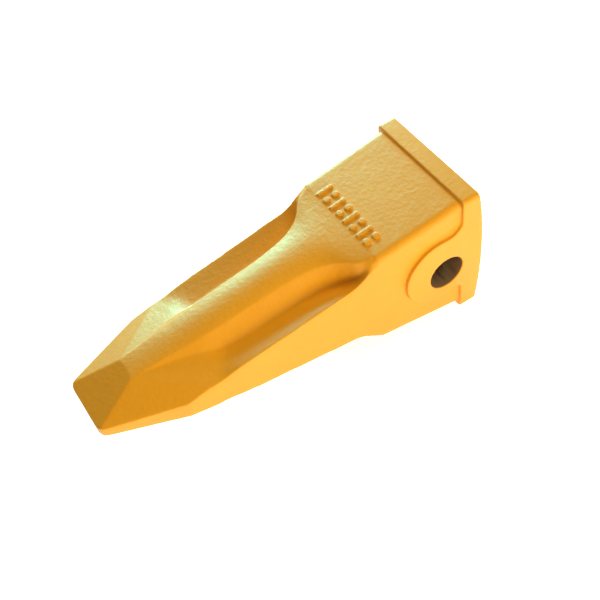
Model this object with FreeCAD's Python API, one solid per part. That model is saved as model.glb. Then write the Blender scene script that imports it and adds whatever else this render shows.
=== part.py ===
import FreeCAD, Part
import math
import os

from FreeCAD import Vector

# Excavator bucket tooth of the rock-chisel pattern, with its side locking pin and retainer ring.
# Millimetres. +X points to the cutting edge, +Y to the tooth's left side, +Z up.
# The origin is on the pin bore's axis, midway between the two ears.

# Heights called "above the mid plane" are measured from here: the bore lies a little below it
MID_PLANE = 5.6

# Pin bore through both ears
BORE_RADIUS = 13.0

# Locking pin: straight, chamfered, with one groove; at rest it is backed out of the left ear
PIN_CLEARANCE = 0.08
PIN_RECESS = 0.6
PIN_END_CHAMFER = 1.5
PIN_BACK_OUT = 18.0
GROOVE_DEPTH = 2.0
GROOVE_SIDE_GAP = 0.3

# Retainer ring: a split spring ring in the pin's groove, just inside the left ear when the pin is home
RING_WIDTH = 6.0
RING_THICKNESS = 5.0
RING_SPLIT = 9.0
RING_FIT = 0.1
RING_EAR_GAP = 1.0

# Collar: the raised band round the socket's mouth, its rear edge an arc in side view
COLLAR_REAR = -25.0
COLLAR_FRONT = -12.0
COLLAR_HALF_WIDTH = 45.4
COLLAR_HALF_HEIGHT = 52.6
COLLAR_CORNER = 3.0
EAR_BULGE = 4.0

# Box: the body between the collar and the scoops
BOX_HALF_WIDTH = 43.0
BOX_HALF_HEIGHT = 50.2
BOX_FRONT = 50.0
BOX_EDGE = 5.0
BOX_OVERLAP = 2.0
SIDE_TAPER = 0.019
TOP_SLOPE = 0.148

# Round pads on the ears, level with the collar, and the arcs that blend them into it
PAD_CENTRE = 5.0
PAD_RADIUS = 26.5
PAD_DEPTH = 12.0
PAD_TOP_BLEND = 12.0
PAD_BOTTOM_BLEND = 8.0

# Socket for the adapter's nose, tapering in from the rear
SOCKET_HALF_WIDTH = 31.0
SOCKET_HALF_HEIGHT = 40.0
SOCKET_END = 64.0
SOCKET_END_HALF_WIDTH = 24.0
SOCKET_END_HALF_HEIGHT = 13.0
SOCKET_CORNER = 6.0
SOCKET_START = COLLAR_REAR - EAR_BULGE - 2.0

# Blade: front facet, side bevels and tapering sides
BLADE_START = 189.0
STRIP_HALF_HEIGHT = 6.7
RIB_FRONT = 209.0
RIB_FRONT_HALF_WIDTH = 7.8
RIB_FRONT_HEIGHT = 17.5
TIP = 242.0
TIP_HALF_WIDTH = 21.0
TIP_CORNER = 7.0
EDGE_HALF_THICKNESS = 3.6
NOSE_EXCESS = 4.0

# Sections of the nose, box to cutting edge, as heights above the mid plane and half-widths:
# place, top at the middle, rib crest width and height, scoop crease width and height, rim height at the side
NOSE_SECTIONS = [
    (BOX_FRONT, 41.1, 37.0, 40.9, 40.4, 39.4, 36.0),
    (55.0, 40.3, 35.6, 39.2, 39.2, 36.6, 34.0),
    (60.0, 39.5, 33.0, 37.7, 36.4, 29.6, 30.6),
    (65.0, 38.8, 27.4, 36.4, 31.6, 23.8, 27.6),
    (71.0, 37.9, 22.0, 34.7, 27.2, 20.6, 25.5),
    (80.0, 36.6, 17.8, 33.0, 24.0, 19.2, 24.3),
    (92.0, 34.8, 15.2, 31.4, 22.8, 18.0, 22.7),
    (110.0, 32.1, 13.6, 28.9, 22.4, 16.2, 20.1),
    (130.0, 29.2, 13.0, 26.2, 21.8, 14.2, 17.3),
    (152.0, 25.9, 12.5, 23.1, 20.2, 12.6, 14.1),
    (166.0, 23.8, 11.6, 21.6, 17.4, 16.4, 10.6),
    (BLADE_START, 20.5, 9.8, 19.3, 11.6, 17.2, 9.8),
    (RIB_FRONT, RIB_FRONT_HEIGHT, RIB_FRONT_HALF_WIDTH, 17.2, 9.2, 16.9, 9.1),
    (TIP + NOSE_EXCESS, 12.0, 6.8, 11.9, 8.6, 11.7, 8.0),
]

# Sections made between each two of the listed ones, by smooth curves
NOSE_STEPS = 3

# Raised foundry tally marks across the top: plain bars, and pairs of studs between them
MARK_COUNT = 8
MARK_PITCH = 7.4
MARK_LENGTH = 11.5
MARK_STROKE = 2.7
MARK_STUD_RADIUS = 2.3
MARK_HEIGHT = 1.4
MARK_ROOT = 1.5
MARK_CENTRE = 44.0

# Larger than any reach of the tooth from its middle, for cutters
FAR = 120.0

ORIGIN = Vector(0, 0, 0)
ACROSS = Vector(0, 1, 0)
UP = Vector(0, 0, 1)


def side_half_width(x):
    """Half-width of the body's side walls at a place along the tooth."""
    return BOX_HALF_WIDTH - SIDE_TAPER * (x - COLLAR_FRONT)


def top_height(x):
    """Height of the sloping top above the mid plane."""
    return BOX_HALF_HEIGHT - TOP_SLOPE * (x - COLLAR_FRONT)


def ear_inner_face(x):
    """Half-width of the socket at a place along the tooth."""
    share = (x - SOCKET_START) / (SOCKET_END - SOCKET_START)
    return SOCKET_HALF_WIDTH + (SOCKET_END_HALF_WIDTH - SOCKET_HALF_WIDTH) * share


def left_and_right(shape):
    return [shape, shape.mirror(ORIGIN, ACROSS)]


def above_and_below(shape):
    return [shape, shape.mirror(Vector(0, 0, MID_PLANE), UP)]


def cross_cylinder(radius, low, high):
    """A cylinder across the tooth, on the bore's axis."""
    return Part.makeCylinder(radius, high - low, Vector(0, low, 0), ACROSS)


def rounded_section(x, half_width, half_height, corner):
    """The outline of a rectangle with rounded corners, across the tooth."""
    low = Vector(x, -half_width, MID_PLANE - half_height)
    plate = Part.makeBox(1.0, 2 * half_width, 2 * half_height, low)
    corners = [e for e in plate.Edges if e.BoundBox.XLength > 0.5]
    rounded = plate.makeFillet(corner, corners)
    return min(rounded.Faces, key=lambda face: face.CenterOfMass.x).OuterWire


def box():
    """The plain tapered body in front of the collar."""
    rear = COLLAR_FRONT - BOX_OVERLAP
    sections = [rounded_section(x, side_half_width(x), top_height(x), BOX_EDGE) for x in (rear, BOX_FRONT)]
    return Part.makeLoft(sections, True, True)


def slopes(places, values):
    """The curve's slope at each place: none at the ends and turning points, so that it never overshoots."""
    rises = [(values[i + 1] - values[i]) / (places[i + 1] - places[i]) for i in range(len(places) - 1)]
    inner = [2 * a * b / (a + b) if a * b > 0 else 0.0 for a, b in zip(rises, rises[1:])]
    return [rises[0]] + inner + [rises[-1]]


def smooth_rows(rows, steps):
    """The rows, with more between each two of them on smooth curves through the column's values."""
    columns = list(zip(*rows))
    places = columns[0]
    tangents = [slopes(places, column) for column in columns]
    result = []
    for i in range(len(rows) - 1):
        span = places[i + 1] - places[i]
        for t in [step / steps for step in range(steps)]:
            pull = t * t * (3 - 2 * t)
            row = []
            for column, tangent in zip(columns, tangents):
                bend = tangent[i] * t * (1 - t) ** 2 - tangent[i + 1] * t * t * (1 - t)
                row.append(column[i] * (1 - pull) + column[i + 1] * pull + span * bend)
            result.append(row)
    return result + [rows[-1]]


def nose_section(x, top, crest_width, crest_height, crease_width, crease_height, rim):
    """One cross-section of the nose: crowned rib, scoops and side walls, the same above and below."""
    upper_right = [(crest_width, crest_height), (crease_width, crease_height), (side_half_width(x), rim)]
    right = upper_right + [(y, -z) for y, z in reversed(upper_right)]
    left = [(-y, z) for y, z in reversed(right)]
    points = [Vector(x, y, MID_PLANE + z) for y, z in right + left]
    half = len(right)
    top_middle = Vector(x, 0, MID_PLANE + top)
    bottom_middle = Vector(x, 0, MID_PLANE - top)
    edges = [Part.LineSegment(a, b).toShape() for a, b in zip(points[: half - 1], points[1:half])]
    edges.append(Part.Arc(points[half - 1], bottom_middle, points[half]).toShape())
    edges += [Part.LineSegment(a, b).toShape() for a, b in zip(points[half:-1], points[half + 1:])]
    edges.append(Part.Arc(points[-1], top_middle, points[0]).toShape())
    return Part.Wire(edges)


def nose():
    rows = smooth_rows(NOSE_SECTIONS, NOSE_STEPS)
    return Part.makeLoft([nose_section(*row) for row in rows], True, True)


def blade_waste():
    """What lies outside the blade's tapering sides and rounded corners."""
    side = Vector(BLADE_START, side_half_width(BLADE_START), -FAR)
    tip = Vector(TIP, TIP_HALF_WIDTH, -FAR)
    rear = side - (tip - side)
    outline = [rear, tip, Vector(tip.x, -tip.y, tip.z), Vector(rear.x, -rear.y, rear.z)]
    plan = Part.Face(Part.makePolygon(outline + outline[:1]))
    blade = plan.extrude(UP * (2 * FAR))
    corners = [e for e in blade.Edges if e.BoundBox.ZLength > FAR and e.BoundBox.XMin > TIP - 1]
    blade = blade.makeFillet(TIP_CORNER, corners)
    front = Part.makeBox(FAR, 2 * FAR, 2 * FAR, Vector(BLADE_START, -FAR, -FAR))
    return front.cut(blade)


def slab_above(a, b, c):
    """A thick slab on the upper side of the plane through three points."""
    normal = (b - a).cross(c - a)
    if normal.z < 0:
        normal = -normal
    return Part.makeCylinder(FAR, FAR, (a + b + c) / 3, normal)


def bevel_slabs():
    """Slabs that cut the front facet and the side bevels, above and below the mid plane."""
    crest = Vector(RIB_FRONT, RIB_FRONT_HALF_WIDTH, MID_PLANE + RIB_FRONT_HEIGHT)
    other_crest = Vector(crest.x, -crest.y, crest.z)
    edge = Vector(TIP, TIP_HALF_WIDTH, MID_PLANE + EDGE_HALF_THICKNESS)
    strip = Vector(BLADE_START, side_half_width(BLADE_START), MID_PLANE + STRIP_HALF_HEIGHT)
    slabs = [slab_above(crest, other_crest, edge)] + left_and_right(slab_above(crest, edge, strip))
    return [slab for upper in slabs for slab in above_and_below(upper)]


def collar():
    """The band, cut from a bar with an arched rear face."""
    top = MID_PLANE + COLLAR_HALF_HEIGHT
    bottom = MID_PLANE - COLLAR_HALF_HEIGHT
    places = [(COLLAR_REAR, top), (COLLAR_FRONT, top), (COLLAR_FRONT, bottom), (COLLAR_REAR, bottom)]
    corners = [Vector(x, -COLLAR_HALF_WIDTH, z) for x, z in places]
    bulge = Vector(COLLAR_REAR - EAR_BULGE, -COLLAR_HALF_WIDTH, MID_PLANE)
    edges = [Part.LineSegment(a, b).toShape() for a, b in zip(corners, corners[1:])]
    edges.append(Part.Arc(corners[3], bulge, corners[0]).toShape())
    bar = Part.Face(Part.Wire(edges)).extrude(ACROSS * (2 * COLLAR_HALF_WIDTH))
    along = [e for e in bar.Edges if e.BoundBox.XLength > 1 and e.BoundBox.ZLength < 0.01]
    return bar.makeFillet(COLLAR_CORNER, along)


def pad_blend(radius, side):
    """The arc that touches the collar's front and the pad's circle: its start, middle and end."""
    x = COLLAR_FRONT - 1 + radius
    reach = PAD_RADIUS + radius
    z = side * math.sqrt(reach ** 2 - (x - PAD_CENTRE) ** 2)
    centre = Vector(x, 0, z)
    pad_middle = Vector(PAD_CENTRE, 0, 0)
    start = Vector(COLLAR_FRONT - 1, 0, z)
    end = pad_middle + (centre - pad_middle) * (PAD_RADIUS / reach)
    bow = ((start + end) / 2 - centre).normalize()
    return start, centre + bow * radius, end


def pad():
    """The left ear's pad: a disc with its blends into the collar."""
    top = pad_blend(PAD_TOP_BLEND, 1)
    bottom = pad_blend(PAD_BOTTOM_BLEND, -1)
    front = Vector(PAD_CENTRE + PAD_RADIUS, 0, 0)
    edges = [Part.Arc(*top).toShape(), Part.Arc(top[2], front, bottom[2]).toShape()]
    edges += [Part.Arc(*reversed(bottom)).toShape(), Part.LineSegment(bottom[0], top[0]).toShape()]
    outline = Part.Wire(edges)
    outline.translate(Vector(0, COLLAR_HALF_WIDTH - PAD_DEPTH, MID_PLANE))
    return Part.Face(outline).extrude(ACROSS * PAD_DEPTH)


def marks():
    """The row of tally marks, tilted with the top."""
    middle = Vector(MARK_CENTRE, 0, MID_PLANE + top_height(MARK_CENTRE))
    height = MARK_ROOT + MARK_HEIGHT
    half = MARK_LENGTH / 2
    solids = []
    for index in range(MARK_COUNT):
        foot = middle + Vector(0, (index - (MARK_COUNT - 1) / 2) * MARK_PITCH, -MARK_ROOT)
        if index % 2 == 0:
            corner = foot - Vector(half, MARK_STROKE / 2, 0)
            solids.append(Part.makeBox(MARK_LENGTH, MARK_STROKE, height, corner))
        else:
            reach = half - MARK_STUD_RADIUS
            places = [foot + Vector(x, 0, 0) for x in (-reach, reach)]
            solids += [Part.makeCylinder(MARK_STUD_RADIUS, height, place) for place in places]
    for solid in solids:
        solid.rotate(middle, ACROSS, math.degrees(math.atan(TOP_SLOPE)))
    return solids


def socket():
    mouth = rounded_section(SOCKET_START, SOCKET_HALF_WIDTH, SOCKET_HALF_HEIGHT, SOCKET_CORNER)
    end = rounded_section(SOCKET_END, SOCKET_END_HALF_WIDTH, SOCKET_END_HALF_HEIGHT, SOCKET_CORNER)
    return Part.makeLoft([mouth, end], True, True)


def tooth_casting():
    body = box().fuse(nose()).cut(blade_waste())
    for slab in bevel_slabs():
        body = body.cut(slab)
    body = body.fuse([collar()] + left_and_right(pad()) + marks())
    return body.cut([socket(), cross_cylinder(BORE_RADIUS, -FAR, FAR)]).removeSplitter()


PIN_RADIUS = BORE_RADIUS - PIN_CLEARANCE
PIN_HALF_LENGTH = COLLAR_HALF_WIDTH - PIN_RECESS
GROOVE_RADIUS = PIN_RADIUS - GROOVE_DEPTH
RING_INNER_RADIUS = GROOVE_RADIUS + RING_FIT
RING_OUTER_RADIUS = RING_INNER_RADIUS + RING_THICKNESS
# The socket narrows forwards, so the ring clears the ear at its own front edge
RING_LEFT = ear_inner_face(RING_OUTER_RADIUS) - RING_EAR_GAP
RING_RIGHT = RING_LEFT - RING_WIDTH
BACKED_OUT = Vector(0, -PIN_BACK_OUT, 0)


def locking_pin():
    pin = cross_cylinder(PIN_RADIUS, -PIN_HALF_LENGTH, PIN_HALF_LENGTH)
    rims = [e for e in pin.Edges if e.BoundBox.YLength < 0.01]
    pin = pin.makeChamfer(PIN_END_CHAMFER, rims)
    low = RING_RIGHT - GROOVE_SIDE_GAP
    high = RING_LEFT + GROOVE_SIDE_GAP
    groove = cross_cylinder(PIN_RADIUS + 1, low, high).cut(cross_cylinder(GROOVE_RADIUS, low, high))
    pin = pin.cut(groove)
    pin.translate(BACKED_OUT)
    return pin


def retainer_ring():
    """The ring round the pin's groove, its split to the rear."""
    ring = cross_cylinder(RING_OUTER_RADIUS, RING_RIGHT, RING_LEFT)
    ring = ring.cut(cross_cylinder(RING_INNER_RADIUS, RING_RIGHT, RING_LEFT))
    corner = Vector(-2 * RING_OUTER_RADIUS, RING_RIGHT, -RING_SPLIT / 2)
    ring = ring.cut(Part.makeBox(2 * RING_OUTER_RADIUS, RING_WIDTH, RING_SPLIT, corner))
    ring.translate(BACKED_OUT)
    return ring


NODES = {
    "tooth_casting": tooth_casting(),
    "locking_pin": locking_pin(),
    "retainer_ring": retainer_ring(),
}

os.makedirs("parts", exist_ok=True)
for name, shape in NODES.items():
    shape.exportStep("parts/" + name + ".step")
    print(name, shape.isValid(), len(shape.Solids), "solid,", round(shape.Volume), "mm3")
print("ear's inner face at the bore", round(ear_inner_face(0), 2))
print("pin's travel: home", PIN_BACK_OUT, "back", round(RING_LEFT + RING_RIGHT - PIN_BACK_OUT, 2))
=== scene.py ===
import math

import bmesh
import bpy
from mathutils import Matrix, Vector, noise


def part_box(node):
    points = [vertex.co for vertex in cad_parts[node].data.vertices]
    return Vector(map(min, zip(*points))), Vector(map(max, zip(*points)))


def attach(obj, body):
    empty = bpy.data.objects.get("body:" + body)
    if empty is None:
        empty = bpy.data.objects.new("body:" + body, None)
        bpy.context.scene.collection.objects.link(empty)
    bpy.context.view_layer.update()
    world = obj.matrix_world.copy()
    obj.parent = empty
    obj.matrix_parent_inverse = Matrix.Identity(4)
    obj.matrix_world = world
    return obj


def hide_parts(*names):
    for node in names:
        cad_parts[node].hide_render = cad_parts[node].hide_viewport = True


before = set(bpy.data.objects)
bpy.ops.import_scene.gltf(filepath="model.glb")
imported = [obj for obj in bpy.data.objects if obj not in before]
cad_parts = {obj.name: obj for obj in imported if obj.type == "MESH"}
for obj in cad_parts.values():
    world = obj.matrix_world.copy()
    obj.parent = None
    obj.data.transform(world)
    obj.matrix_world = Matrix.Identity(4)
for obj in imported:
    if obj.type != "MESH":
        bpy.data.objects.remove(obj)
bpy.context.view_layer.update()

MM = 0.001

# Places read from the frame: the bore runs along Y through the origin, between the ears' outer faces
CAST_LOW, CAST_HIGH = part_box("tooth_casting")
EAR_FACE = CAST_HIGH.y
PIN_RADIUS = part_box("locking_pin")[1].x
BORE_RADIUS = PIN_RADIUS + 0.08 * MM

# Places on the casting that its box doesn't give. The drilled wall starts at the ears' inner faces
MID_PLANE = 5.6 * MM
BORE_WALL_START = 27 * MM
MARK_CENTRE = 44 * MM
SOCKET_START = -31 * MM
SOCKET_END = 64 * MM
SOCKET_MOUTH_HALF_SIZE = (31 * MM, 40 * MM)
SOCKET_SEAT_HALF_SIZE = (24 * MM, 13 * MM)

# Casting skin: voxel, rounds of easing for the scoops and the cast edges, and triangles left at the end
SKIN_VOXEL = 0.52 * MM
SCOOP_EASING = 10
EDGE_EASING = 13
EASING_STEP = 0.5
SKIN_TRIANGLES = 190000

# Where the scoops' easing fades, from and to: at their rear, front and sides, and towards the mid plane
SCOOP_REAR = (46 * MM, 56 * MM)
SCOOP_FRONT = (178 * MM, 196 * MM)
SCOOP_SIDE = (34.5 * MM, 37.5 * MM)
SCOOP_DEPTH = (8 * MM, 12 * MM)

# The raised marks: the share of the easing that they're spared, and their patch's half-length, row and height
MARK_KEEP = 0.9
MARK_LENGTH_FADE = (6 * MM, 8 * MM)
MARK_ROW_FADE = (29 * MM, 31 * MM)
MARK_HEIGHT_FADE = (35 * MM, 38 * MM)

# Low waves that the sand mould leaves: depth, waves to the millimetre, roughness, gain and layers
SAND_WAVE = 0.16 * MM
SAND_WAVES_PER_MM = 0.06
SAND_WAVE_SHAPE = (0.9, 2.1, 3)

# The spray reaches this far into the socket before the bare steel shows, in a darker brown that is also
# painted shade deep in the socket and in the bore
SPRAY_REACH = (-26 * MM, -2 * MM)

# How near the skin lies to the socket's wall, the bore's wall and the drilled wall when it belongs to them
SOCKET_MARGIN = 0.6 * MM
BORE_MARGIN = 0.5 * MM
DRILL_MARGIN = 0.35 * MM

# The bore's eased rim: the paint goes in this deep, and the drill's true wall starts this deep
RIM_PAINT = 0.8 * MM
RIM_EASE = 1.2 * MM

# Sockets of a colour Mix node: its two colours and its result
LOW, HIGH, RESULT = 6, 7, 2


def linear(hex_colour):
    """An sRGB hex colour as linear RGBA."""
    parts = [int(hex_colour[i:i + 2], 16) / 255 for i in (1, 3, 5)]
    return [c / 12.92 if c <= 0.04045 else ((c + 0.055) / 1.055) ** 2.4 for c in parts] + [1.0]


def add(tree, kind, settings=None, **links):
    """Adds a node. Settings are its properties and input values, and links join its inputs to sockets."""
    node = tree.nodes.new(kind)
    for key, value in (settings or {}).items():
        if isinstance(key, str) and hasattr(node, key):
            setattr(node, key, value)
        else:
            node.inputs[key].default_value = value
    for key, socket in links.items():
        tree.links.new(socket, node.inputs[key.replace("_", " ")])
    return node


def material(name):
    made = bpy.data.materials.new(name)
    made.use_nodes = True
    made.node_tree.nodes.clear()
    return made, made.node_tree


def new_object(name, mesh):
    obj = bpy.data.objects.new(name, mesh)
    bpy.context.scene.collection.objects.link(obj)
    return obj


def smoothstep(low, high, value):
    t = min(1.0, max(0.0, (value - low) / (high - low)))
    return t * t * (3 - 2 * t)


# ---------------------------------------------------------------- camera

CAMERA_AZIMUTH = 65.92
CAMERA_ELEVATION = 52.25
CAMERA_ROLL = -10.64
CAMERA_DISTANCE = 0.64063
CAMERA_TARGET = Vector((93.58, 2.47, -1.41)) * MM
CAMERA_LENS = 58.72
CAMERA_SHIFT = (0.0132, 0.0035)


def aim(direction, roll):
    """A rotation that looks against the direction, rolled about the line of sight."""
    forward = -direction
    right = forward.cross(Vector((0, 0, 1))).normalized()
    up = right.cross(forward)
    c, s = math.cos(roll), math.sin(roll)
    right, up = c * right + s * up, c * up - s * right
    return Matrix((right, up, -forward)).transposed().to_4x4()


def camera():
    azimuth, elevation, roll = (math.radians(a) for a in (CAMERA_AZIMUTH, CAMERA_ELEVATION, CAMERA_ROLL))
    direction = Vector((
        math.cos(elevation) * math.cos(azimuth),
        math.cos(elevation) * math.sin(azimuth),
        math.sin(elevation),
    ))
    data = bpy.data.cameras.new("camera")
    data.sensor_width = 36
    data.lens = CAMERA_LENS
    data.shift_x, data.shift_y = CAMERA_SHIFT
    data.clip_start = 0.01
    obj = new_object("camera", data)
    obj.matrix_world = Matrix.Translation(CAMERA_TARGET + direction * CAMERA_DISTANCE) @ aim(direction, roll)
    bpy.context.scene.camera = obj


# ---------------------------------------------------------------- casting skin

def merged_copy(node, name):
    """A copy of a CAD node with its loose triangles joined."""
    bm = bmesh.new()
    bm.from_mesh(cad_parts[node].data)
    bmesh.ops.remove_doubles(bm, verts=bm.verts, dist=0.002 * MM)
    mesh = bpy.data.meshes.new(name)
    bm.to_mesh(mesh)
    bm.free()
    return new_object(name, mesh)


def apply_modifiers(obj):
    """Makes the modifiers' result the object's own mesh."""
    graph = bpy.context.evaluated_depsgraph_get()
    mesh = bpy.data.meshes.new_from_object(obj.evaluated_get(graph))
    obj.modifiers.clear()
    obj.data = mesh


def ease(obj, name, rounds, weight_at):
    """Evens the mesh out, by a weight for each place."""
    group = obj.vertex_groups.new(name=name)
    for v in obj.data.vertices:
        weight = weight_at(v.co)
        if weight > 0.01:
            group.add([v.index], weight, "REPLACE")
    smooth = obj.modifiers.new(name, "SMOOTH")
    smooth.iterations = rounds
    smooth.factor = EASING_STEP
    smooth.vertex_group = name


def in_scoop(p):
    """1 in the scoops and on the rib between them, which are soft in the mould, and 0 at crisp edges."""
    along = smoothstep(*SCOOP_REAR, p.x) * (1 - smoothstep(*SCOOP_FRONT, p.x))
    inside = 1 - smoothstep(*SCOOP_SIDE, abs(p.y))
    outer = smoothstep(*SCOOP_DEPTH, abs(p.z - MID_PLANE))
    return along * inside * outer


def off_marks(p):
    """1 away from the raised tally marks on the top, and less on them, so that they stay crisp."""
    along = 1 - smoothstep(*MARK_LENGTH_FADE, abs(p.x - MARK_CENTRE))
    across = 1 - smoothstep(*MARK_ROW_FADE, abs(p.y))
    return 1 - MARK_KEEP * along * across * smoothstep(*MARK_HEIGHT_FADE, p.z)


def bare_steel_and_shade(p):
    """1 where the steel is left bare and its darker brown is also painted shade: the drilled bore, and the
    socket beyond the reach of the spray.
    """
    if math.hypot(p.x, p.z) < BORE_RADIUS + BORE_MARGIN and abs(p.y) < EAR_FACE - RIM_PAINT:
        return 1.0
    share = (p.x - SOCKET_START) / (SOCKET_END - SOCKET_START)
    half_width, half_height = (
        mouth + (seat - mouth) * share + SOCKET_MARGIN
        for mouth, seat in zip(SOCKET_MOUTH_HALF_SIZE, SOCKET_SEAT_HALF_SIZE)
    )
    inside = abs(p.y) < half_width and abs(p.z - MID_PLANE) < half_height and p.x < SOCKET_END + SOCKET_MARGIN
    return smoothstep(*SPRAY_REACH, p.x) if inside else 0.0


def true_bore(obj):
    """The pin bore is drilled after casting, so its wall is brought back to its radius."""
    for v in obj.data.vertices:
        reach = math.hypot(v.co.x, v.co.z)
        if reach < BORE_RADIUS + DRILL_MARGIN and BORE_WALL_START < abs(v.co.y) < EAR_FACE - RIM_EASE:
            v.co.x *= BORE_RADIUS / reach
            v.co.z *= BORE_RADIUS / reach


def sand_waves(obj):
    """Low waves of the mould's face, inwards so that the casting keeps its box, and none at the bore."""
    normals = [v.normal.copy() for v in obj.data.vertices]
    for v, normal in zip(obj.data.vertices, normals):
        wave = noise.fractal(v.co / MM * SAND_WAVES_PER_MM, *SAND_WAVE_SHAPE)
        off_bore = smoothstep(BORE_RADIUS + 1 * MM, BORE_RADIUS + 5 * MM, math.hypot(v.co.x, v.co.z))
        v.co -= normal * (SAND_WAVE * (0.5 + 0.5 * wave) * off_bore)


def casting():
    skin = merged_copy("tooth_casting", "casting_skin")
    remesh = skin.modifiers.new("remesh", "REMESH")
    remesh.mode = "VOXEL"
    remesh.voxel_size = SKIN_VOXEL
    apply_modifiers(skin)
    ease(skin, "scoops", SCOOP_EASING, in_scoop)
    ease(skin, "edges", EDGE_EASING, off_marks)
    apply_modifiers(skin)
    true_bore(skin)
    sand_waves(skin)
    thin = skin.modifiers.new("thin", "DECIMATE")
    skin.data.calc_loop_triangles()
    thin.ratio = min(1.0, SKIN_TRIANGLES / len(skin.data.loop_triangles))
    apply_modifiers(skin)
    skin.data.shade_smooth()
    # This attribute marks the bare steel, whose darker brown is also painted shade in the bore and deep in
    # the socket
    bare = skin.data.attributes.new("bare_steel_and_painted_shade", "FLOAT", "POINT")
    bare.data.foreach_set("value", [bare_steel_and_shade(v.co) for v in skin.data.vertices])
    skin.data.materials.clear()
    skin.data.materials.append(enamel_on_cast_steel())
    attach(skin, "tooth")
    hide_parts("tooth_casting")


# ---------------------------------------------------------------- materials

def enamel_on_cast_steel():
    """Golden yellow enamel sprayed on shot-blasted cast steel: semi-gloss, with the sand's grain under it.

    Where the spray didn't reach, the casting's own brown oxide skin is left, and its darker brown is also
    painted shade in the bore and deep in the socket. The bore has a faint shine.
    """
    made, tree = material("enamel_on_cast_steel")
    place = add(tree, "ShaderNodeTexCoord").outputs["Object"]
    drift = add(tree, "ShaderNodeTexNoise", {"Scale": 24.0, "Detail": 4.0, "Roughness": 0.55}, Vector=place)
    enamel_tones = {"data_type": "RGBA", LOW: linear("#E2900A"), HIGH: linear("#EC9E12")}
    # The bare steel's brown tones are partly its own as-cast colour and partly painted shade, made dark for
    # the bore and deep in the socket
    scale_and_shade_tones = {"data_type": "RGBA", LOW: linear("#8E6A42"), HIGH: linear("#BC9870")}
    enamel = add(tree, "ShaderNodeMix", enamel_tones, Factor=drift.outputs["Fac"])
    scale_and_shade = add(tree, "ShaderNodeMix", scale_and_shade_tones, Factor=drift.outputs["Fac"])
    bare = add(tree, "ShaderNodeAttribute", {"attribute_name": "bare_steel_and_painted_shade"}).outputs["Fac"]

    # Sand grain under the paint and the paint's own orange peel, both drawn coarser than they are, to show
    sand = add(tree, "ShaderNodeTexNoise", {"Scale": 340.0, "Detail": 3.0, "Roughness": 0.5}, Vector=place)
    peel = add(tree, "ShaderNodeTexNoise", {"Scale": 900.0, "Detail": 2.0, "Roughness": 0.5}, Vector=place)
    coarse = add(tree, "ShaderNodeBump", {"Strength": 0.55, "Distance": 0.0005}, Height=sand.outputs["Fac"])
    fine = add(
        tree, "ShaderNodeBump", {"Strength": 0.35, "Distance": 0.0002},
        Height=peel.outputs["Fac"], Normal=coarse.outputs["Normal"],
    )
    paint = add(
        tree, "ShaderNodeBsdfPrincipled", {"Roughness": 0.5, "IOR": 1.5, "Metallic": 0.0},
        Base_Color=enamel.outputs[RESULT], Normal=fine.outputs["Normal"],
    )
    steel = add(
        tree, "ShaderNodeBsdfPrincipled", {"Roughness": 0.4, "Metallic": 0.3},
        Base_Color=scale_and_shade.outputs[RESULT], Normal=coarse.outputs["Normal"],
    )
    mixed = add(tree, "ShaderNodeMixShader")
    for socket, source in zip(mixed.inputs, (bare, paint.outputs["BSDF"], steel.outputs["BSDF"])):
        tree.links.new(source, socket)
    add(tree, "ShaderNodeOutputMaterial", Surface=mixed.outputs["Shader"])
    return made


def turned_alloy_steel():
    """Hardened alloy steel, turned and oiled: grey, with fine rings from the tool round the pin's axis."""
    made, tree = material("turned_alloy_steel")
    place = add(tree, "ShaderNodeTexCoord").outputs["Object"]
    stretched = add(tree, "ShaderNodeMapping", {"Scale": (20.0, 2600.0, 20.0)}, Vector=place)
    rings = add(tree, "ShaderNodeTexNoise", {"Scale": 1.0, "Detail": 2.0}, Vector=stretched.outputs["Vector"])
    stain = add(tree, "ShaderNodeTexNoise", {"Scale": 90.0, "Detail": 5.0, "Roughness": 0.6}, Vector=place)
    tones = {"data_type": "RGBA", LOW: linear("#6E6A64"), HIGH: linear("#A39F98")}
    colour = add(tree, "ShaderNodeMix", tones, Factor=stain.outputs["Fac"])
    rough = add(tree, "ShaderNodeMapRange", {"To Min": 0.22, "To Max": 0.42}, Value=stain.outputs["Fac"])
    bump = add(tree, "ShaderNodeBump", {"Strength": 0.25, "Distance": 0.0001}, Height=rings.outputs["Fac"])
    shader = add(
        tree, "ShaderNodeBsdfPrincipled", {"Metallic": 1.0},
        Base_Color=colour.outputs[RESULT], Normal=bump.outputs["Normal"], Roughness=rough.outputs["Result"],
    )
    add(tree, "ShaderNodeOutputMaterial", Surface=shader.outputs["BSDF"])
    return made


def blackened_spring_steel():
    """Blackened spring steel, tumbled and oiled: near black, rubbed brighter in patches."""
    made, tree = material("blackened_spring_steel")
    place = add(tree, "ShaderNodeTexCoord").outputs["Object"]
    rub = add(tree, "ShaderNodeTexNoise", {"Scale": 240.0, "Detail": 5.0, "Roughness": 0.65}, Vector=place)
    tones = {"data_type": "RGBA", LOW: linear("#232224"), HIGH: linear("#4A4744")}
    colour = add(tree, "ShaderNodeMix", tones, Factor=rub.outputs["Fac"])
    rough = add(tree, "ShaderNodeMapRange", {"To Min": 0.3, "To Max": 0.5}, Value=rub.outputs["Fac"])
    shader = add(
        tree, "ShaderNodeBsdfPrincipled", {"Metallic": 1.0},
        Base_Color=colour.outputs[RESULT], Roughness=rough.outputs["Result"],
    )
    add(tree, "ShaderNodeOutputMaterial", Surface=shader.outputs["BSDF"])
    return made


def white_studio_paper():
    """Matt white paper under the tooth, lit from within so that it stays white up to its edge."""
    made, tree = material("white_studio_paper")
    settings = {
        "Base Color": linear("#F7F7F7"),
        "Roughness": 0.9,
        "Emission Color": linear("#FFFFFF"),
        "Emission Strength": 0.7,
    }
    shader = add(tree, "ShaderNodeBsdfPrincipled", settings)
    add(tree, "ShaderNodeOutputMaterial", Surface=shader.outputs["BSDF"])
    return made


# ---------------------------------------------------------------- studio

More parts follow.
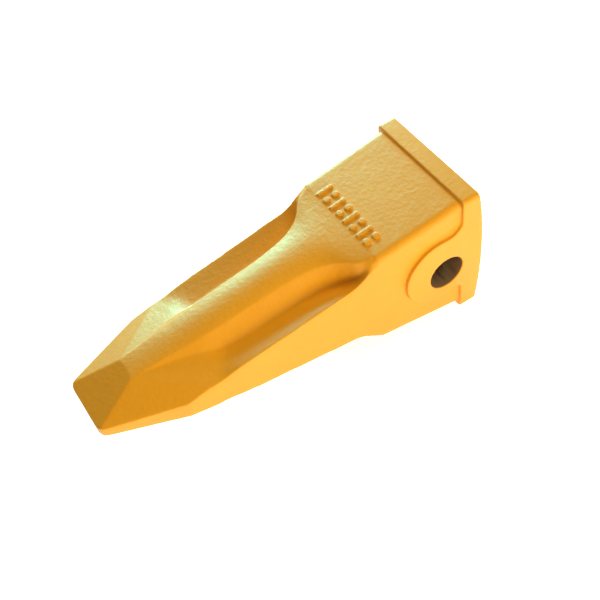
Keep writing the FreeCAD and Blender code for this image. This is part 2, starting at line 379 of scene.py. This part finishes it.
FLOOR_HALF_SIZE = 6.0
LIT_POINT = Vector((100, 0, 0)) * MM
AMBIENT = 0.14


def floor():
    bm = bmesh.new()
    bmesh.ops.create_grid(bm, x_segments=1, y_segments=1, size=FLOOR_HALF_SIZE)
    bmesh.ops.translate(bm, verts=bm.verts, vec=(0, 0, CAST_LOW.z))
    mesh = bpy.data.meshes.new("studio_floor")
    bm.to_mesh(mesh)
    bm.free()
    mesh.materials.append(white_studio_paper())
    new_object("studio_floor", mesh)


def soft_light(name, direction, distance, size, power, colour, sheen=False):
    """A round softbox aimed at the tooth. A sheen light is seen only in reflections, the others never."""
    data = bpy.data.lights.new(name, "AREA")
    data.shape = "DISK"
    data.size = size
    data.energy = power
    data.color = linear(colour)[:3]
    obj = new_object(name, data)
    obj.visible_glossy = sheen
    obj.visible_diffuse = not sheen
    place = LIT_POINT + Vector(direction).normalized() * distance
    turn = (LIT_POINT - place).to_track_quat("-Z", "Y").to_matrix().to_4x4()
    obj.matrix_world = Matrix.Translation(place) @ turn


def lights():
    soft_light("overhead_softbox", (-0.3, -0.45, 0.84), 1.1, 0.6, 5.4, "#FFFFF4")
    soft_light("side_softbox", (-0.15, 1.0, 0.2), 1.2, 0.7, 13.0, "#FFFFE8")
    soft_light("far_softbox", (-0.35, -1.0, 0.36), 1.1, 0.6, 13.0, "#C0FFDA")
    soft_light("far_sheen", (-0.35, -1.0, 0.36), 1.1, 0.6, 34.0, "#6CFFE6", sheen=True)
    soft_light("top_softbox", (-0.1, 0.35, 1.0), 1.1, 0.8, 1.4, "#FFF8EC")
    world = bpy.data.worlds.new("studio")
    bpy.context.scene.world = world
    world.use_nodes = True
    background = world.node_tree.nodes["Background"]
    background.inputs["Color"].default_value = linear("#FFFFFF")
    background.inputs["Strength"].default_value = AMBIENT
    bpy.context.scene.view_settings.view_transform = "Standard"


camera()
casting()
for node, finish in (("locking_pin", turned_alloy_steel()), ("retainer_ring", blackened_spring_steel())):
    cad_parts[node].data.materials.clear()
    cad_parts[node].data.materials.append(finish)
floor()
lights()
